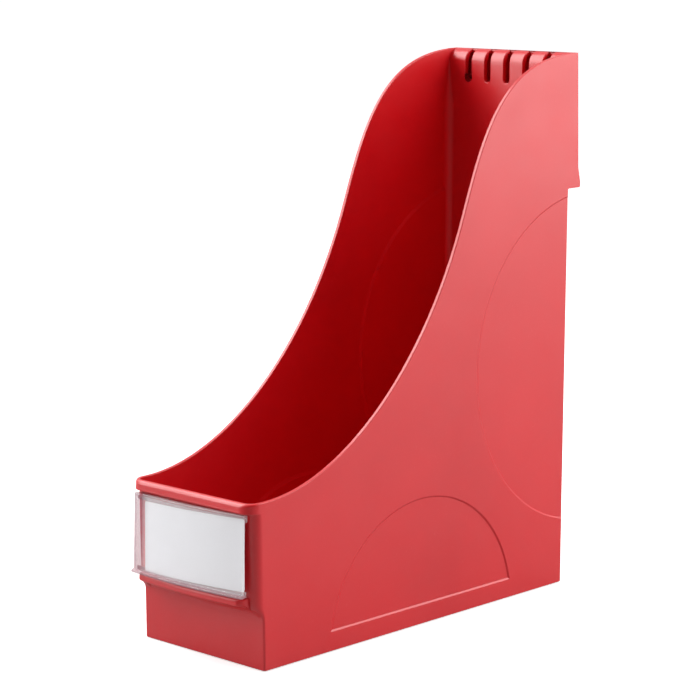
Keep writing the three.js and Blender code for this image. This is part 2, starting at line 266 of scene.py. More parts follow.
# ---------------------------------------------------------------- tub: rows of the section
# A row runs once round the tub at one height of its section. It holds the height, the reach
# forward and the corner radius at the front (zf, fwd, rf) and the height, the depth and the corner
# radius at the back (zb, db, rb). A row with a "spread" stretches between SHARE_FOOT and the top
# edge along the side wall, and the spread lifts it clear of its neighbours there.
def make_row(front, back, **more):
    """A row from its (height, forward, radius) at the front and (height, depth, radius) at the back."""
    zf, forward, rf = front
    zb, depth, rb = back
    return {"zf": zf, "fwd": forward, "rf": rf, "zb": zb, "db": depth, "rb": rb, **more}


def level_row(z, forward, radius, **more):
    """An outside row at one height all round."""
    return make_row((z, forward, radius), (z, outer_back(z), BACK_CORNER), **more)


def inner_level_row(z, forward, inset):
    """An inside row at one height all round."""
    return make_row((z, forward, INNER_CORNER), (z, inner_back(z), INNER_CORNER), inset=inset)


def outer_back(z):
    """Depth of the back wall's outer face at a height."""
    return FOOT_DEPTH + LEAN * z


def inner_back(z):
    """Depth of the back wall's inner face at a height."""
    return FOOT_DEPTH - WALL + LEAN * z


def outer_rows():
    """Rows of the outside, from the foot to the start of the lip. In the stretched rows the front is
    (height, forward, corner radius) and the back is (height, depth or None for the wall's own)."""
    rows = []
    for angle in (0, 30, 60):
        inset = FOOT_ROUND * (1 - math.sin(math.radians(angle)))
        z = FOOT_ROUND * (1 - math.cos(math.radians(angle)))
        rows.append(level_row(z, 0, FOOT_CORNER, inset=inset))
    for z in (FOOT_ROUND, 3.0, 14.0, 25.5):
        rows.append(level_row(z, 0, FOOT_CORNER))
    rows += ledge_rows()
    front = (
        (50.0, BAY_FORWARD, BAY_CORNER),
        (62.0, BAY_FORWARD, BAY_CORNER),
        (74.0, BAY_FORWARD, BAY_CORNER),
        (83.5, BAY_FORWARD, BAY_CORNER),
        (RIM_UNDERSIDE - 1.0, BAY_FORWARD, BAY_CORNER),
        (RIM_UNDERSIDE - 0.3, BAY_FORWARD + 0.25, 5.7),
        (RIM_UNDERSIDE, BAY_FORWARD + 0.9, 6.1),
        (RIM_UNDERSIDE, RIM_LOWER_FORWARD - 0.75, 8.0),
        (RIM_UNDERSIDE + 0.2, RIM_LOWER_FORWARD - 0.2, 8.4),
        (RIM_UNDERSIDE + 0.8, RIM_LOWER_FORWARD - 0.08, RIM_CORNER),
        (RIM_UNDERSIDE + 1.2, lerp(RIM_LOWER_FORWARD, RIM_TOP_FORWARD, 0.4), RIM_CORNER),
        (RIM_UNDERSIDE + 1.8, lerp(RIM_LOWER_FORWARD, RIM_TOP_FORWARD, 0.6), RIM_CORNER),
        (RIM_UNDERSIDE + 2.5, lerp(RIM_LOWER_FORWARD, RIM_TOP_FORWARD, 0.8), RIM_CORNER),
    )
    back = (
        (85.0, None),
        (130.0, None),
        (175.0, None),
        (215.0, None),
        (HOOD_BOTTOM - 0.9, None),
        (HOOD_BOTTOM - 0.25, LEAN_DEPTH + 0.25),
        (HOOD_BOTTOM, LEAN_DEPTH + 0.9),
        (HOOD_BOTTOM, HOOD_LIP_DEPTH - 0.9),
        (HOOD_BOTTOM + 0.25, HOOD_LIP_DEPTH - 0.25),
        (HOOD_BOTTOM + 0.9, HOOD_LIP_DEPTH),
        (HOOD_LIP_TOP, None),
        (HOOD_FACE_FOOT, None),
        (282.0, None),
    )
    spread = (0, 0, 0, 0, 0, 0.25, 0.5, 0.9, 1.2, 1.5, 1.5, 1.3, 1.0)
    for front_end, (zb, depth), lift in zip(front, back, spread):
        if depth is None:
            depth = hood_depth(zb) if zb > HOOD_BOTTOM else outer_back(zb)
        rows.append(make_row(front_end, (zb, depth, BACK_CORNER), spread=lift))
    return rows


def ledge_rows():
    """Rows of the flare and of the ledge above it. A step is (height, share of the nose's reach,
    pull back from the nose); beside the ledge the rows run up the flare and then up the wall."""
    cove = (
        (28.0, 0.0, 0.0),
        (30.3, 0.035, 0.0),
        (32.2, 0.13, 0.0),
        (33.9, 0.29, 0.0),
        (35.1, 0.49, 0.0),
        (35.8, 0.66, 0.0),
        (36.2, 0.80, 0.0),
    )
    nose = (
        (36.6, 1.0, 1.0),
        (37.0, 1.0, 0.3),
        (37.6, 1.0, 0.0),
        (39.2, 1.0, 0.1),
        (40.0, 1.0, 0.35),
        (40.4, 1.0, 0.75),
        (LEDGE_TOP, 1.0, 1.4),
    )
    wall = (
        (LEDGE_TOP, 0.0, -0.8),
        (LEDGE_TOP + 0.25, 0.0, -0.2),
        (LEDGE_TOP + 0.9, 0.0, 0.0),
    )
    flare_steps = len(cove) + len(nose) - 1
    rows = []
    for i, step in enumerate(cove + nose + wall):
        t = min(1.0, i / flare_steps)
        z, forward = flare(t, BAY_FORWARD, 0, FLARE_END, FLARE_START)
        z += max(0, i - flare_steps) * WALL_ROW_PITCH
        radius = lerp(FOOT_CORNER, BAY_CORNER, forward / BAY_FORWARD)
        rows.append(level_row(z, forward, radius, ledge=step, in_cove=i < len(cove)))
    return rows


def hood_depth(z):
    """Outer face of the hood's back at a height: a lip at the bottom, then a nearly flat face."""
    if z <= HOOD_LIP_TOP:
        return HOOD_LIP_DEPTH
    if z <= HOOD_FACE_FOOT:
        return lerp(HOOD_LIP_DEPTH, HOOD_FACE_DEPTH, (z - HOOD_LIP_TOP) / (HOOD_FACE_FOOT - HOOD_LIP_TOP))
    return lerp(HOOD_FACE_DEPTH, HOOD_TOP_DEPTH, (z - HOOD_FACE_FOOT) / (HEIGHT - HOOD_FACE_FOOT))


def inner_rows():
    """Rows of the inside, from the lip down to the floor."""
    rows = []
    inner_wall = BAY_FORWARD - WALL
    stretched = (
        (89.2, RIM_INNER_FORWARD, 313.5),
        (88.0, RIM_INNER_FORWARD - 0.05, 310.5),
        (87.2, RIM_INNER_FORWARD - 0.35, 305.0),
        (85.8, inner_wall + 0.75, 298.0),
        (84.8, inner_wall + 0.15, 285.0),
        (83.4, inner_wall, 270.0),
        (68.0, inner_wall, 220.0),
        (52.0, inner_wall, 150.0),
        (SHARE_FOOT, inner_wall, 70.0),
    )
    for zf, forward, zb in stretched:
        back = (zb, inner_back(zb), inner_back_radius(zb))
        rows.append(make_row((zf, forward, INNER_CORNER), back, spread=0))
    z_top, z_bottom = FLARE_END - WALL / 2, FLARE_START - WALL / 2
    for t in (1, 0.84, 0.68, 0.5, 0.32, 0.16, 0):
        z, forward = flare(t, inner_wall, -WALL, z_top, z_bottom)
        rows.append(inner_level_row(z, forward, 0))
    rows.append(inner_level_row(15.0, -WALL, 0))
    for i in range(FLOOR_STEPS + 1):
        angle = math.radians(90 * i / FLOOR_STEPS)
        z = WALL + FLOOR_ROUND * (1 - math.sin(angle))
        rows.append(inner_level_row(z, -WALL, FLOOR_ROUND * (1 - math.cos(angle))))
    return rows


def inner_back_radius(z):
    """The inside corner at the back tightens below the bend."""
    share = (z - CORNER_TIGHTENS) / (CORNER_TIGHT - CORNER_TIGHTENS)
    return lerp(INNER_CORNER, INNER_CORNER_TOP, min(1.0, max(0.0, share)))


# ---------------------------------------------------------------- tub: columns
def columns():
    """Columns of the right half, from the middle of the front to the middle of the back."""
    half = [("front", i / 14) for i in range(13)]
    # Closer together where the ledge's nose rounds off
    half += [("front", t) for t in (0.895, 0.925, 0.95, 0.968, 0.982, 0.992, 1.0)]
    half += [("front_corner", i / 8) for i in range(9)]
    half += [("side", share) for share in side_shares()]
    half += [("back_corner", i / 7) for i in range(8)]
    half += [("back", 1 - i / 8) for i in range(1, 9)]
    return half


def side_shares():
    """Shares of the side columns: closer together where the top edge turns fastest."""
    shares = []
    for i in range(1, SIDE_STEPS):
        t = i / SIDE_STEPS
        shares.append(t - SIDE_CROWDING * math.sin(2 * math.pi * t))
    return shares


def side_depth(share, front, back):
    """Depth of a side column in a row whose corners end at front and back."""
    depth = lerp(SIDE_FRONT, SIDE_BACK, share)
    near_front = max(0.0, 1 - (depth - SIDE_FRONT) / SIDE_BLEND) ** 2
    near_back = max(0.0, 1 - (SIDE_BACK - depth) / SIDE_BLEND) ** 2
    return depth + near_front * (front - SIDE_FRONT) + near_back * (back - SIDE_BACK)


def column_point(column, row, half_width):
    """(x, depth, z) and the outward direction of a column in a row."""
    kind, t = column
    inset = row.get("inset", 0.0)
    half_width = half_width - inset
    rf = max(row["rf"] - inset, 0.3)
    rb = max(row["rb"] - inset, 0.3)
    forward = row["fwd"] - inset
    back = row["db"] - inset
    if kind == "front":
        x = t * (half_width - rf)
        z = row["zf"]
        if "ledge" in row:
            z, forward = ledge_point(row, x)
        return (x, -forward, z), (0, -1)
    if kind == "front_corner":
        a = t * math.pi / 2
        x = half_width - rf + rf * math.sin(a)
        return (x, -forward + rf - rf * math.cos(a), row["zf"]), (math.sin(a), -math.cos(a))
    if kind == "side":
        depth = side_depth(t, -forward + rf, back - rb)
        return (half_width, depth, side_height(row, t, depth)), (1, 0)
    if kind == "back_corner":
        a = t * math.pi / 2
        x = half_width - rb + rb * math.cos(a)
        return (x, back - rb + rb * math.sin(a), row["zb"]), (math.cos(a), math.sin(a))
    return (t * (half_width - rb), back, row["zb"]), (0, 1)


def ledge_nose(x):
    """How far the ledge's nose stands forward: an arc in plan with rounded ends."""
    rise = LEDGE_MIDDLE_FORWARD - LEDGE_END_FORWARD
    radius = (LEDGE_HALF**2 + rise**2) / (2 * rise)
    nose = LEDGE_MIDDLE_FORWARD - radius + math.sqrt(radius**2 - x**2)
    past = max(0.0, abs(x) - LEDGE_HALF + LEDGE_END_ROUND) / LEDGE_END_ROUND
    return lerp(BAY_FORWARD, nose, math.sqrt(max(0.0, 1 - past**2)))


def ledge_point(row, x):
    """(z, forward) on the flare's cove, the ledge's nose or the wall above it."""
    z, share, pull = row["ledge"]
    reach = ledge_nose(x) - BAY_FORWARD
    blend = min(1.0, reach / LEDGE_BLEND_REACH)
    if row["in_cove"]:
        forward = ledge_nose(x) * share
    else:
        forward = BAY_FORWARD + max(reach * share - pull * min(1.0, reach / LEDGE_ROUND_REACH), 0.0)
    return lerp(row["zf"], z, blend), lerp(row["fwd"], forward, blend)


def side_height(row, t, depth):
    """Height of a row on the side wall: rows above the bay stretch with the top edge."""
    if "spread" not in row:
        return row["zf"]
    share_front = (row["zf"] - SHARE_FOOT) / (RIM_HEIGHT - SHARE_FOOT)
    share_back = (row["zb"] - SHARE_FOOT) / (HEIGHT - SHARE_FOOT)
    blend = t * t * (3 - 2 * t)
    share = lerp(share_front, share_back, blend)
    return SHARE_FOOT + share * (top_height(depth) - SHARE_FOOT) + row["spread"]


def lip_rounds(column):
    """Outer and inner radius of the lip: the front rim is rounder outside."""
    kind, t = column
    share = {"front": 0.0, "front_corner": t}.get(kind, 1.0)
    return lerp(RIM_ROUND, LIP_ROUND, share), lerp(RIM_INNER_ROUND, LIP_ROUND, share)


def lip_points(column):
    """The rounded top edge of a column, from the outside over to the inside."""
    outer_front = (RIM_HEIGHT, RIM_TOP_FORWARD, RIM_CORNER)
    outer_top = make_row(outer_front, (HEIGHT, HOOD_TOP_DEPTH, BACK_CORNER), spread=0)
    inner_front = (RIM_HEIGHT, RIM_INNER_FORWARD, INNER_CORNER)
    inner_top = make_row(inner_front, (HEIGHT, inner_back(HEIGHT), INNER_CORNER_TOP), spread=0)
    outer_round, inner_round = lip_rounds(column)
    edges = ((outer_top, HALF, 1, outer_round), (inner_top, INNER_HALF, -1, inner_round))
    points = []
    for row, width, sign, size in edges:
        (x, d, z), (ox, od) = column_point(column, row, width)
        nd, nz = top_normal(d) if column[0] == "side" else (0.0, 1.0)
        arc = []
        for i in range(LIP_STEPS + 1):
            a = i / LIP_STEPS * math.pi / 2
            inward = size * (1 - math.cos(a)) * sign
            down = size * (1 - math.sin(a))
            arc.append((x - ox * inward, d - od * inward - nd * down, z - nz * down))
        points += arc if sign > 0 else arc[::-1]
    return points


def column_line(column):
    """All points of one column, from the foot's underside over the lip to the floor."""
    line = [column_point(column, row, HALF)[0] for row in outer_rows()]
    line += lip_points(column)
    line += [column_point(column, row, INNER_HALF)[0] for row in inner_rows()]
    return line


def to_frame(x, depth, z):
    """A point of the tub in the shared frame, in metres."""
    return Vector((x * MM, (FRONT_Y + depth) * MM, z * MM))


def tub_mesh():
    """The tub as one closed skin of quads, without its slots, channel and joggles."""
    right = [column_line(c) for c in columns()]
    left = [[(-x, d, z) for x, d, z in line] for line in right[1:-1]]
    loop = right + left[::-1]
    bm = bmesh.new()
    verts = [[bm.verts.new(to_frame(*p)) for p in line] for line in loop]
    count = len(verts)
    for i in range(count):
        here, there = verts[i], verts[(i + 1) % count]
        for k in range(len(here) - 1):
            bm.faces.new((here[k], there[k], there[k + 1], here[k + 1]))
    bm.faces.new([line[0] for line in verts][::-1])
    bm.faces.new([line[-1] for line in verts])
    bmesh.ops.remove_doubles(bm, verts=bm.verts, dist=0.02 * MM)
    bmesh.ops.dissolve_degenerate(bm, edges=bm.edges, dist=0.005 * MM)
    bmesh.ops.recalc_face_normals(bm, faces=bm.faces)
    return bm


# ---------------------------------------------------------------- tub: cutting bodies
def prism(outline_a, x_a, outline_b, x_b, bm=None):
    """Adds the body between two (depth, height) outlines at two x positions."""
    bm = bm or bmesh.new()
    a = [bm.verts.new(to_frame(x_a, d, z)) for d, z in outline_a]
    b = [bm.verts.new(to_frame(x_b, d, z)) for d, z in outline_b]
    n = len(a)
    faces = [bm.faces.new(a), bm.faces.new(b[::-1])]
    faces += [bm.faces.new((a[(i + 1) % n], a[i], b[i], b[(i + 1) % n])) for i in range(n)]
    bmesh.ops.recalc_face_normals(bm, faces=faces)
    return bm


def disc_outline(grow, end_depth):
    """The part of the disc in front of a depth, grown outwards."""
    radius = DISC["radius"] + grow
    half_angle = math.acos((end_depth - DISC["depth"]) / radius)
    steps = 96
    angles = [lerp(half_angle, 2 * math.pi - half_angle, i / steps) for i in range(steps + 1)]
    return [(DISC["depth"] + radius * math.cos(a), DISC["height"] + radius * math.sin(a)) for a in angles]


def dome_outline(grow):
    """The part of the dome above its foot line, grown outwards."""
    radius = DOME["radius"] + grow
    foot = DOME["foot"] - grow
    start = math.asin((foot - DOME["height"]) / radius)
    steps = 72
    angles = [lerp(start, math.pi - start, i / steps) for i in range(steps + 1)]
    return [(DOME["depth"] + radius * math.cos(a), DOME["height"] + radius * math.sin(a)) for a in angles]


def joggles(outer, inner, end_depth):
    """Disc and dome on both side walls, with sloped edges. An end is (x, growth of the outlines)."""
    (x_outer, grow_outer), (x_inner, grow_inner) = outer, inner
    bm = bmesh.new()
    for side in (1, -1):
        a, b = side * x_outer, side * x_inner
        prism(disc_outline(grow_outer, end_depth), a, disc_outline(grow_inner, end_depth), b, bm)
        prism(dome_outline(grow_outer), a, dome_outline(grow_inner), b, bm)
    return bm


def bend_cutter():
    """What is cleared above the back wall's bend."""
    steps = 14
    centre = BEND_DEPTH + BEND_RADIUS - 0.04  # the arc starts just clear of the wall
    front = BEND_DEPTH - 9
    outline = [(front, BEND_FOOT)]
    for i in range(steps + 1):
        a = i / steps * math.pi / 2
        outline.append((centre - BEND_RADIUS * math.cos(a), BEND_FOOT + BEND_RADIUS * math.sin(a)))
    outline += [(centre, HEIGHT + OVERSHOOT), (front, HEIGHT + OVERSHOOT)]
    half = INNER_HALF - 0.02
    return prism(outline, -half, outline, half)


def channel_cutter(bm):
    """Adds the finger channel under the hood."""
    roof = HEIGHT - WALL
    outline = (
        (LEAN_DEPTH, HOOD_BOTTOM - OVERSHOOT),
        (HOOD_LIP_DEPTH - WALL, HOOD_BOTTOM - OVERSHOOT),
        (HOOD_LIP_DEPTH - WALL, HOOD_LIP_TOP),
        (HOOD_FACE_DEPTH - WALL, HOOD_FACE_FOOT),
        (HOOD_TOP_DEPTH - WALL + 0.05, roof - 1),
        (HOOD_TOP_DEPTH - WALL - 0.8, roof),
        (HOOD_TOP_DEPTH - 2 * WALL, roof),
        (CHANNEL_BEND_DEPTH, BEND_FOOT),
        (LEAN_DEPTH, HOOD_BOTTOM),
    )
    return prism(outline, -INNER_HALF, outline, INNER_HALF, bm)


def slot_cutters():
    """The U-shaped slots, cut from the front."""
    bm = bmesh.new()
    radius = SLOT_WIDTH / 2
    steps = 16
    for i in range(SLOT_COUNT):
        x = (i - (SLOT_COUNT - 1) / 2) * SLOT_PITCH
        outline = [(x + radius, HEIGHT + OVERSHOOT), (x - radius, HEIGHT + OVERSHOOT)]
        for k in range(steps + 1):
            a = math.pi + k / steps * math.pi
            outline.append((x + radius * math.cos(a), SLOT_FOOT + radius + radius * math.sin(a)))
        front = [bm.verts.new(to_frame(px, FOOT_DEPTH - 5, pz)) for px, pz in outline]
        back = [bm.verts.new(to_frame(px, SLOT_BACK_DEPTH, pz)) for px, pz in outline]
        n = len(outline)
        bm.faces.new(front)
        bm.faces.new(back[::-1])
        for k in range(n):
            bm.faces.new((front[(k + 1) % n], front[k], back[k], back[(k + 1) % n]))
    bmesh.ops.recalc_face_normals(bm, faces=bm.faces)
    return bm


# ---------------------------------------------------------------- objects and booleans
def make_object(name, bm):
    """An object in the scene that takes over a bmesh."""
    mesh = bpy.data.meshes.new(name)
    bm.to_mesh(mesh)
    bm.free()
    made = bpy.data.objects.new(name, mesh)
    bpy.context.scene.collection.objects.link(made)
    return made


def combine(target, bm, operation):
    """Applies one exact boolean to the target and drops the other body."""
    other = make_object("operand", bm)
    modifier = target.modifiers.new("combine", "BOOLEAN")
    modifier.operation = operation
    modifier.solver = "EXACT"
    modifier.object = other
    bake_modifiers(target)
    bpy.data.objects.remove(other)


def bake_modifiers(target):
    """Replaces an object's mesh by what its modifiers make of it."""
    graph = bpy.context.evaluated_depsgraph_get()
    mesh = bpy.data.meshes.new_from_object(target.evaluated_get(graph))
    target.modifiers.clear()
    old = target.data
    target.data = mesh
    bpy.data.meshes.remove(old)
    mesh.name = target.name


def on_slot_mouth(edge):
    """True for a slot's edge on the front of the back wall, on the bend or on the top."""
    middle = (edge.verts[0].co + edge.verts[1].co) / 2 / MM
    depth = middle.y - FRONT_Y
    beside_slots = abs(middle.x) > (SLOT_COUNT - 1) / 2 * SLOT_PITCH + SLOT_WIDTH
    if depth > SLOT_BACK_DEPTH + 0.02 or middle.z < SLOT_FOOT - 0.1 or beside_slots:
        return False
    if middle.z < BEND_FOOT:
        on_skin = abs(depth - inner_back(middle.z)) < SKIN_TOLERANCE
    else:
        from_centre = math.hypot(depth - BEND_DEPTH - BEND_RADIUS, middle.z - BEND_FOOT)
        on_skin = abs(from_centre - BEND_RADIUS) < SKIN_TOLERANCE and depth < BEND_DEPTH + BEND_RADIUS
    return on_skin and len(edge.link_faces) == 2 and edge.calc_face_angle() > math.radians(50)


def round_slot_mouths(target):
    """Rounds the slots' edges where a finger meets them."""
    bm = bmesh.new()
    bm.from_mesh(target.data)
    bmesh.ops.dissolve_degenerate(bm, edges=bm.edges, dist=0.004 * MM)
    edges = [e for e in bm.edges if on_slot_mouth(e)]
    bmesh.ops.bevel(bm, geom=edges, offset=SLOT_ROUND * MM, segments=4, profile=0.5,
                    affect="EDGES", clamp_overlap=False)
    bm.to_mesh(target.data)
    bm.free()


def smooth_by_angle(target, degrees):
    """Smooth shading with edges over the angle kept sharp, and flat faces left flat."""
    bm = bmesh.new()
    bm.from_mesh(target.data)
    for face in bm.faces:
        face.smooth = True
    for edge in bm.edges:
        edge.smooth = len(edge.link_faces) == 2 and edge.calc_face_angle(0) < math.radians(degrees)
    bm.to_mesh(target.data)
    bm.free()
    modifier = target.modifiers.new("even shading", "WEIGHTED_NORMAL")
    modifier.keep_sharp = True
    modifier.weight = 60


def make_tub():
    """The tub's skin with its bend, joggles, finger channel and slots."""
    tub = make_object("tub", tub_mesh())
    combine(tub, bend_cutter(), "DIFFERENCE")
    outside = joggles((HALF + 1, 2.167), (HALF - JOGGLE, -0.5), HOOD_LIP_DEPTH + 1)
    combine(tub, channel_cutter(outside), "DIFFERENCE")
    inside = joggles((INNER_HALF + 0.9, 4.4), (INNER_HALF - JOGGLE, -1.1), FOOT_DEPTH)
    combine(tub, inside, "UNION")
    combine(tub, slot_cutters(), "DIFFERENCE")
    round_slot_mouths(tub)
    smooth_by_angle(tub, 14)
    return tub


# ---------------------------------------------------------------- label window and card
def bow_frame():
    """Origin and axes of the bow, from the joint that the card slides on."""
    joint = next(j for j in frame["joints"] if j["name"] == "card_slide")
    up = Vector(joint["axis"]).normalized()
    back = Vector((0, up.z, -up.y)).normalized()
    return Vector(joint["pos_m"]), back.cross(up), back, up


BOW_ORIGIN, BOW_RIGHT, BOW_BACK, BOW_UP = bow_frame()


def on_bow(radius, arc, height):
    """A point at a radius, an arc length from the middle and a height on the bow."""
    a = arc / BOW_RADIUS
    side = BOW_RIGHT * (radius * math.sin(a)) - BOW_BACK * (radius * math.cos(a))
    return BOW_ORIGIN + (side + BOW_UP * height) * MM


def window_section():
    """Closed outline of the window's section, (radius, height), with its two channels."""
    front = BOW_RADIUS + CARD_THICKNESS / 2 + CARD_GAP
    back = BOW_RADIUS - CARD_THICKNESS / 2 - CARD_GAP
    skin = front + WINDOW_THICKNESS
    flange = back - CHANNEL_WEB
    web_foot = CHANNEL_FOOT - CHANNEL_WEB
    lip_top = WINDOW_BOTTOM + LIP_HEIGHT
    sharp = (
        (front, WINDOW_BOTTOM, 0.3),
        (skin + LIP_FORWARD, WINDOW_BOTTOM, 0.55),
        (skin + LIP_FORWARD, lip_top - 0.6, 0.75),
        (skin, lip_top + 0.4, 0.7),
        (skin, WINDOW_TOP, 0.45),
        (flange, WINDOW_TOP, 0.3),
        (flange, CHANNEL_HEAD - CHANNEL_FLANGE, 0.3),
        (back, CHANNEL_HEAD - CHANNEL_FLANGE, 0.25),
        (back, CHANNEL_HEAD, 0.12),
        (front, CHANNEL_HEAD, 0.12),
        (front, CHANNEL_FOOT, 0.12),
        (back, CHANNEL_FOOT, 0.12),
        (back, CHANNEL_FOOT + CHANNEL_FLANGE, 0.25),
        (flange, CHANNEL_FOOT + CHANNEL_FLANGE, 0.3),
        (flange, web_foot, 0.3),
        (front, web_foot, 0.2),
    )
    return rounded(sharp)


def rounded(sharp, steps=4):
    """Rounds each corner of a closed outline by its own radius."""
    outline = []
    n = len(sharp)
    for i, (u, v, radius) in enumerate(sharp):
        here = Vector((u, v))
        before = (Vector(sharp[i - 1][:2]) - here).normalized()
        after = (Vector(sharp[(i + 1) % n][:2]) - here).normalized()
        opening = before.angle(after)
        reach = radius / math.tan(opening / 2)
        start, end = here + before * reach, here + after * reach
        for k in range(steps + 1):
            t = k / steps
            outline.append(start * (1 - t) ** 2 + here * (2 * t * (1 - t)) + end * t * t)
    return [(p.x, p.y) for p in outline]


def round_ends(target, width):
    """Rounds an object's square edges a little."""
    edges = target.modifiers.new("end rounds", "BEVEL")
    edges.width = width * MM
    edges.segments = 2
    edges.limit_method = "ANGLE"
    edges.angle_limit = math.radians(60)
    bake_modifiers(target)


def make_window():
    """The window's section swept along the bow."""
    section = window_section()
    stations = 56
    bm = bmesh.new()
    rings = []
    for i in range(stations + 1):
        arc = lerp(-WINDOW_HALF, WINDOW_HALF, i / stations)
        rings.append([bm.verts.new(on_bow(r, arc, h)) for r, h in section])
    n = len(section)
    for a, b in zip(rings, rings[1:]):
        for k in range(n):
            bm.faces.new((a[k], a[(k + 1) % n], b[(k + 1) % n], b[k]))
    bm.faces.new(rings[0])
    bm.faces.new(rings[-1][::-1])
    bmesh.ops.recalc_face_normals(bm, faces=bm.faces)
    window = make_object("window_clear", bm)
    round_ends(window, WINDOW_END_ROUND)
    smooth_by_angle(window, 45)
    return window


def card_point(u, v, radius):
    """A point of the card: u and v run from -1 to 1 over its width and height."""
    x, z = u * CARD_WIDTH / 2, v * CARD_HEIGHT / 2
    turned_x = x * math.cos(CARD_SKEW) - z * math.sin(CARD_SKEW) + CARD_SHIFT
    turned_z = x * math.sin(CARD_SKEW) + z * math.cos(CARD_SKEW)
    return on_bow(radius, turned_x, turned_z)


def make_card():
    """A thin bowed sheet with slightly softened corners and edges."""
    across, up = 48, 24
    bm = bmesh.new()
    faces = []
    for radius in (BOW_RADIUS - CARD_THICKNESS / 2, BOW_RADIUS + CARD_THICKNESS / 2):
        grid = []
        for i in range(across + 1):
            u = 2 * i / across - 1
            line = []
            for k in range(up + 1):
                v = 2 * k / up - 1
                line.append(bm.verts.new(card_point(*soften_corner(u, v), radius)))
            grid.append(line)
        faces.append(grid)
    inner, outer = faces
    for grid, flip in ((inner, True), (outer, False)):
        for i in range(across):
            for k in range(up):
                quad = (grid[i][k], grid[i + 1][k], grid[i + 1][k + 1], grid[i][k + 1])
                bm.faces.new(quad[::-1] if flip else quad)
    rim = [(i, 0) for i in range(across)] + [(across, k) for k in range(up)]
    rim += [(i, up) for i in range(across, 0, -1)] + [(0, k) for k in range(up, 0, -1)]
    for (i, k), (p, q) in zip(rim, rim[1:] + rim[:1]):
        bm.faces.new((outer[i][k], inner[i][k], inner[p][q], outer[p][q]))
    bmesh.ops.recalc_face_normals(bm, faces=bm.faces)
    card = make_object("card_paper", bm)
    round_ends(card, CARD_EDGE_ROUND)
    smooth_by_angle(card, 50)
    return card


def soften_corner(u, v):
    """Pulls the outermost corner of the sheet in onto a small radius."""
    if abs(u) < 1 or abs(v) < 1:
        return u, v
    pull = CARD_CORNER * (1 - math.sqrt(0.5))
    return u * (1 - 2 * pull / CARD_WIDTH), v * (1 - 2 * pull / CARD_HEIGHT)


# ---------------------------------------------------------------- materials
class Nodes:
    """Builds a node tree with short calls."""

    def __init__(self, name):
        self.material = bpy.data.materials.new(name)
        self.material.use_nodes = True
        self.tree = self.material.node_tree
        self.bsdf = self.tree.nodes["Principled BSDF"]
        self.place = self.add("ShaderNodeTexCoord").outputs["Object"]

    def add(self, kind, **settings):
        node = self.tree.nodes.new(kind)
        for key, value in settings.items():
            setattr(node, key, value)
        return node

    def link(self, value, socket):
        if isinstance(value, bpy.types.NodeSocket):
            self.tree.links.new(value, socket)
        else:
            socket.default_value = value

    def set(self, socket, value):
        self.link(value, self.bsdf.inputs[socket])

    def stretched(self, x, y, z):
        """Texture places scaled by axis."""
        node = self.add("ShaderNodeMapping")
        self.link(self.place, node.inputs["Vector"])
        node.inputs["Scale"].default_value = (x, y, z)
        return node.outputs["Vector"]

    def noise(self, scale, detail=3.0, roughness=0.55, place=None):
        node = self.add("ShaderNodeTexNoise")
        self.link(place or self.place, node.inputs["Vector"])
        node.inputs["Scale"].default_value = scale
        node.inputs["Detail"].default_value = detail
        node.inputs["Roughness"].default_value = roughness
        return node.outputs["Fac"]

    def spread(self, value, low, high, to_low, to_high):
        """Maps low..high onto to_low..to_high, clamped."""
        node = self.add("ShaderNodeMapRange")
        self.link(value, node.inputs["Value"])
        limits = {"From Min": low, "From Max": high, "To Min": to_low, "To Max": to_high}
        for socket, number in limits.items():
            node.inputs[socket].default_value = number
        return node.outputs["Result"]

    def maths(self, operation, a, b=0.0):
        node = self.add("ShaderNodeMath", operation=operation)
        self.link(a, node.inputs[0])
        self.link(b, node.inputs[1])
        return node.outputs[0]

    def mix(self, share, a, b):
        node = self.add("ShaderNodeMix", data_type="RGBA")
        self.link(share, node.inputs["Factor"])
        self.link(a, node.inputs[6])
        self.link(b, node.inputs[7])
        return node.outputs[2]

    def edges(self, radius):
        """1 on convex and concave edges, 0 on flats."""
        bevel = self.add("ShaderNodeBevel", samples=4)
        bevel.inputs["Radius"].default_value = radius
        geometry = self.add("ShaderNodeNewGeometry")
        dot = self.add("ShaderNodeVectorMath", operation="DOT_PRODUCT")
        self.link(bevel.outputs["Normal"], dot.inputs[0])
        self.link(geometry.outputs["Normal"], dot.inputs[1])
        return self.spread(dot.outputs["Value"], 0.995, 0.86, 0.0, 1.0)

    def bump(self, height, distance, strength, below=None):
        node = self.add("ShaderNodeBump")
        node.inputs["Distance"].default_value = distance
        node.inputs["Strength"].default_value = strength
        self.link(height, node.inputs["Height"])
        if below is not None:
            self.link(below, node.inputs["Normal"])
        return node.outputs["Normal"]


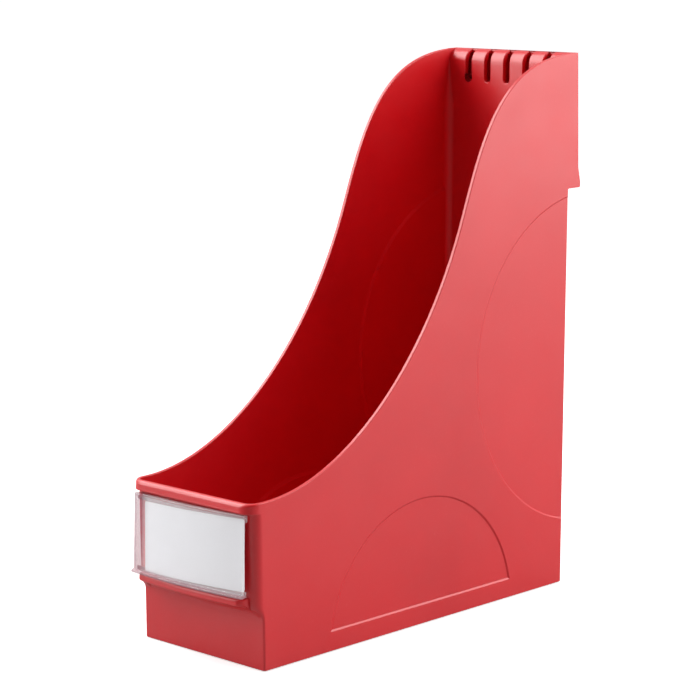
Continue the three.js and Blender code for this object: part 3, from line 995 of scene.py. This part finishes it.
def red_plastic():
    """Satin moulded plastic: faint clouds and flow lines, a fine grain, paler worn edges."""
    n = Nodes("red_plastic")
    cloud = n.noise(14, 3)
    flow = n.noise(10, 2, place=n.stretched(1.0, 1.0, 0.16))
    speck = n.noise(620, 2)
    colour = n.mix(n.spread(cloud, 0.35, 0.65, 0, 1), RED, RED_CLOUD)
    colour = n.mix(n.spread(flow, 0.42, 0.66, 0, 0.35), colour, RED_FLOW)
    colour = n.mix(n.spread(speck, 0.62, 0.8, 0, 0.12), colour, RED_SPECK)
    wear = n.maths("MULTIPLY", n.edges(0.0009), n.spread(n.noise(190, 3), 0.35, 0.7, 0.35, 1.0))
    colour = n.mix(n.maths("MULTIPLY", wear, 0.06), colour, RED_WORN)
    n.set("Base Color", colour)
    rough = n.spread(n.noise(46, 4, 0.65), 0.3, 0.7, 0.29, 0.38)
    rough = n.maths("ADD", rough, n.maths("MULTIPLY", wear, 0.16))
    n.set("Roughness", rough)
    n.set("Specular IOR Level", 0.72)
    soft = n.bump(n.noise(16, 2), 0.0009, 0.35)
    grain = n.bump(n.noise(1500, 2, 0.5), 0.00005, 0.35, soft)
    n.set("Normal", n.bump(n.noise(900, 3), 0.00005, 0.4, grain))
    return n.material


def clear_plastic():
    """Clear plastic with a light haze. Towards its free ends, its foot and its head the red of the tub,
    seen through and reflected in it, is painted into its colour as a painted reflection, with more alpha
    there.
    """
    n = Nodes("clear_plastic")
    haze = n.noise(22, 2)
    scuff = n.noise(140, 4, 0.7, n.stretched(1, 1, 5))
    edge = n.edges(0.0007)
    split = n.add("ShaderNodeSeparateXYZ")
    n.link(n.place, split.inputs[0])
    # Painted reflection: masks for where the tub's red, seen through the window, is painted in
    end = n.spread(split.outputs["X"], *PAINTED_REFLECTION_END, 0, 1)
    foot = n.spread(split.outputs["Z"], *PAINTED_REFLECTION_FOOT, 0, 0.75)
    head = n.spread(split.outputs["Z"], *PAINTED_REFLECTION_HEAD, 0, 0.35)
    painted_reflection = n.maths("MAXIMUM", end, n.maths("MAXIMUM", foot, head))
    colour = n.mix(n.spread(haze, 0.3, 0.7, 0, 1), CLEAR, CLEAR_HAZE)
    # The painted reflection of the red tub mixed into the clear colour
    colour = n.mix(painted_reflection, colour, PAINTED_TUB_RED_REFLECTION)
    n.set("Base Color", colour)
    rough = n.spread(scuff, 0.35, 0.75, 0.10, 0.22)
    n.set("Roughness", n.maths("ADD", rough, n.maths("MULTIPLY", edge, 0.12)))
    # More alpha where the painted reflection of the red tub lies
    alpha = n.maths("ADD", n.spread(haze, 0.3, 0.7, 0.22, 0.235), n.maths("MULTIPLY", painted_reflection, 0.26))
    alpha = n.maths("ADD", alpha, n.maths("MULTIPLY", edge, 0.2))
    alpha = n.maths("ADD", alpha, n.spread(scuff, 0.6, 0.8, 0.0, 0.04))
    n.set("Alpha", alpha)
    n.set("Specular IOR Level", 0.6)
    n.set("Normal", n.bump(n.noise(38, 2), 0.0004, 0.2))
    return n.material


def white_paper():
    """Matt card with fibres and a slightly darker cut edge."""
    n = Nodes("white_paper")
    fibre = n.noise(520, 5, 0.7, n.stretched(1.0, 1.0, 2.4))
    blotch = n.noise(34, 3)
    colour = n.mix(n.spread(blotch, 0.3, 0.7, 0, 1), PAPER, PAPER_BLOTCH)
    colour = n.mix(n.spread(fibre, 0.5, 0.75, 0, 0.2), colour, PAPER_FIBRE)
    colour = n.mix(n.maths("MULTIPLY", n.edges(0.0006), 0.3), colour, PAPER_EDGE)
    n.set("Base Color", colour)
    n.set("Roughness", n.spread(fibre, 0.3, 0.7, 0.78, 0.95))
    n.set("Specular IOR Level", 0.25)
    n.set("Normal", n.bump(fibre, 0.00006, 0.5))
    return n.material


# ---------------------------------------------------------------- stage
def floor_material():
    """Near white to the camera. To the object it is a mid grey, and dark ahead of it."""
    n = Nodes("studio_floor")
    path = n.add("ShaderNodeLightPath").outputs["Is Camera Ray"]
    pale = n.mix(n.noise(3, 2), FLOOR_PALE, FLOOR_PALER)
    split = n.add("ShaderNodeSeparateXYZ")
    n.link(n.place, split.inputs[0])
    ahead = n.spread(split.outputs["Y"], -0.6, -1.4, 0, 1)
    room = n.mix(ahead, FLOOR_ROOM, FLOOR_DARK)
    n.set("Base Color", n.mix(path, room, pale))
    n.set("Roughness", n.spread(n.noise(40, 3), 0.3, 0.7, 0.55, 0.7))
    n.set("Normal", n.bump(n.noise(300, 2), 0.0001, 0.1))
    n.set("Emission Color", (1, 1, 1, 1))
    n.set("Emission Strength", n.maths("MULTIPLY", path, FLOOR_GLOW))
    return n.material


def make_floor():
    """A wide floor just under the feet."""
    bm = bmesh.new()
    bmesh.ops.create_circle(bm, cap_ends=True, segments=96, radius=FLOOR_RADIUS)
    floor = make_object("floor", bm)
    floor.location.z = -FLOOR_DROP
    floor.data.materials.append(floor_material())


def softbox(name, place, target, width, height, radiance):
    """A soft rectangular lamp that the camera doesn't see."""
    light = bpy.data.lights.new(name, "AREA")
    light.shape = "RECTANGLE"
    light.size = width
    light.size_y = height
    light.energy = radiance * math.pi * width * height
    lamp = bpy.data.objects.new(name, light)
    bpy.context.scene.collection.objects.link(lamp)
    lamp.location = place
    lamp.rotation_mode = "QUATERNION"
    lamp.rotation_quaternion = (Vector(target) - Vector(place)).to_track_quat("-Z", "Y")
    lamp.visible_camera = False


def make_world():
    """White to the camera; for everything else bright behind the object and dim at the camera."""
    world = bpy.data.worlds.new("studio")
    bpy.context.scene.world = world
    world.use_nodes = True
    nodes, links = world.node_tree.nodes, world.node_tree.links
    nodes.clear()
    output = nodes.new("ShaderNodeOutputWorld")
    seen = nodes.new("ShaderNodeBackground")
    seen.inputs["Color"].default_value = (1, 1, 1, 1)
    seen.inputs["Strength"].default_value = WORLD_SEEN
    glow = nodes.new("ShaderNodeBackground")
    path = nodes.new("ShaderNodeLightPath")
    choice = nodes.new("ShaderNodeMixShader")
    place = nodes.new("ShaderNodeTexCoord")
    side = nodes.new("ShaderNodeVectorMath")
    side.operation = "DOT_PRODUCT"
    side.inputs[1].default_value = WORLD_BRIGHT_SIDE
    ramp = nodes.new("ShaderNodeMapRange")
    ramp.interpolation_type = "SMOOTHSTEP"
    for socket, value in WORLD_RAMP.items():
        ramp.inputs[socket].default_value = value
    links.new(place.outputs["Generated"], side.inputs[0])
    links.new(side.outputs["Value"], ramp.inputs["Value"])
    links.new(ramp.outputs["Result"], glow.inputs["Strength"])
    links.new(path.outputs["Is Camera Ray"], choice.inputs[0])
    links.new(glow.outputs[0], choice.inputs[1])
    links.new(seen.outputs[0], choice.inputs[2])
    links.new(choice.outputs[0], output.inputs["Surface"])


def make_camera():
    """The camera from its place, azimuth, elevation and roll."""
    a, e, r = CAMERA_AZIMUTH, CAMERA_ELEVATION, CAMERA_ROLL
    back = Vector((math.sin(a) * math.cos(e), -math.cos(a) * math.cos(e), math.sin(e)))
    level = Vector((math.cos(a), math.sin(a), 0))
    upright = back.cross(level)
    right = level * math.cos(r) + upright * math.sin(r)
    up = upright * math.cos(r) - level * math.sin(r)
    camera = bpy.data.cameras.new("camera")
    camera.lens = CAMERA_LENS
    camera.sensor_width = 36
    camera.clip_start = 0.05
    rig = bpy.data.objects.new("camera", camera)
    bpy.context.scene.collection.objects.link(rig)
    turn = Matrix((right, up, back)).transposed().to_4x4()
    rig.matrix_world = Matrix.Translation(CAMERA_PLACE) @ turn
    bpy.context.scene.camera = rig


# ---------------------------------------------------------------- assembly
def dress(piece, body, node, material):
    """Gives a piece its material, parents it under its body's empty and hides the CAD node that it
    replaces.
    """
    piece.data.materials.clear()
    piece.data.materials.append(material)
    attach(piece, body)
    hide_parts(node)


dress(make_tub(), "holder", "file_body", red_plastic())
dress(make_window(), "window", "label_window", clear_plastic())
dress(make_card(), "card", "label_card", white_paper())
make_floor()
for lamp in LAMPS:
    softbox(*lamp)
make_world()
make_camera()
bpy.context.scene.view_settings.view_transform = "Standard"
